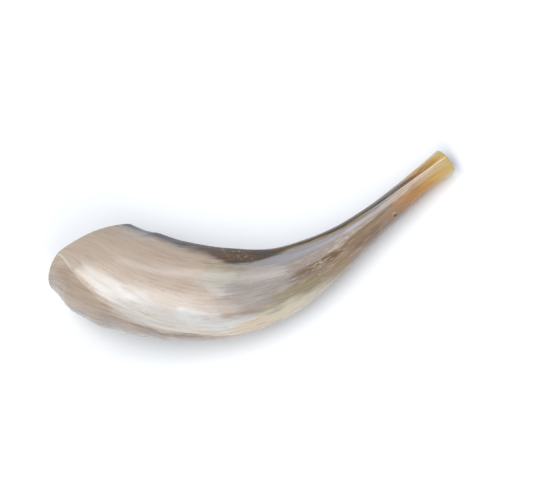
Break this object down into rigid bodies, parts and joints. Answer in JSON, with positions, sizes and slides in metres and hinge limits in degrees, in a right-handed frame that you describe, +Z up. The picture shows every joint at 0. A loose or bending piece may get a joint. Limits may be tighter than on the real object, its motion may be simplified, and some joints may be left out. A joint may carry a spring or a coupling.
{
  "type": "shofar",
  "caption": "Curved ram's horn trumpet: straight drilled neck with a flared mouthpiece, a three-sided body and a slanted open bell.",
  "frame": {"origin": "on the table, under the middle of the horn's bounding box", "axes": "+X along the neck, out of the mouthpiece; +Y towards the bell's open end; +Z up, with the horn lying on its side"},
  "size_m": [0.2744, 0.141, 0.0702],
  "materials": {
    "horn": "polished natural horn, streaked beige, grey and honey, left dull inside"
  },
  "bodies": {
    "root": {"horn": "horn"}
  },
  "joints": []
}
